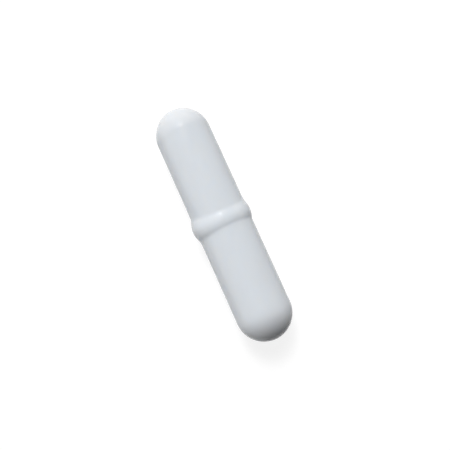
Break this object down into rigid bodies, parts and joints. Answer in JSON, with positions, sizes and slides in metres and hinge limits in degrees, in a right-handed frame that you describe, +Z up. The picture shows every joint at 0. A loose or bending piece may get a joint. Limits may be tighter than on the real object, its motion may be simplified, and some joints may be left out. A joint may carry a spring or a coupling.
{
  "type": "magnetic stir bar",
  "caption": "Cylindrical magnetic stir bar: a rod magnet sealed in a smooth white moulded jacket with hemispherical ends and a softly rounded pivot ring round its middle.",
  "frame": {"origin": "middle of the bar, on its axis, under and inside the pivot ring", "axes": "+X along the bar; +Z up, the axis that the bar spins about on a stirrer; +Y across the bar"},
  "size_m": [0.04, 0.01, 0.01],
  "materials": {
    "jacket": "white fluoropolymer with a waxy satin skin, a little light passing into it",
    "magnet": "cast magnet alloy, ground round and bevelled at its ends"
  },
  "bodies": {
    "root": {"jacket": "jacket", "magnet": "magnet"}
  },
  "joints": []
}
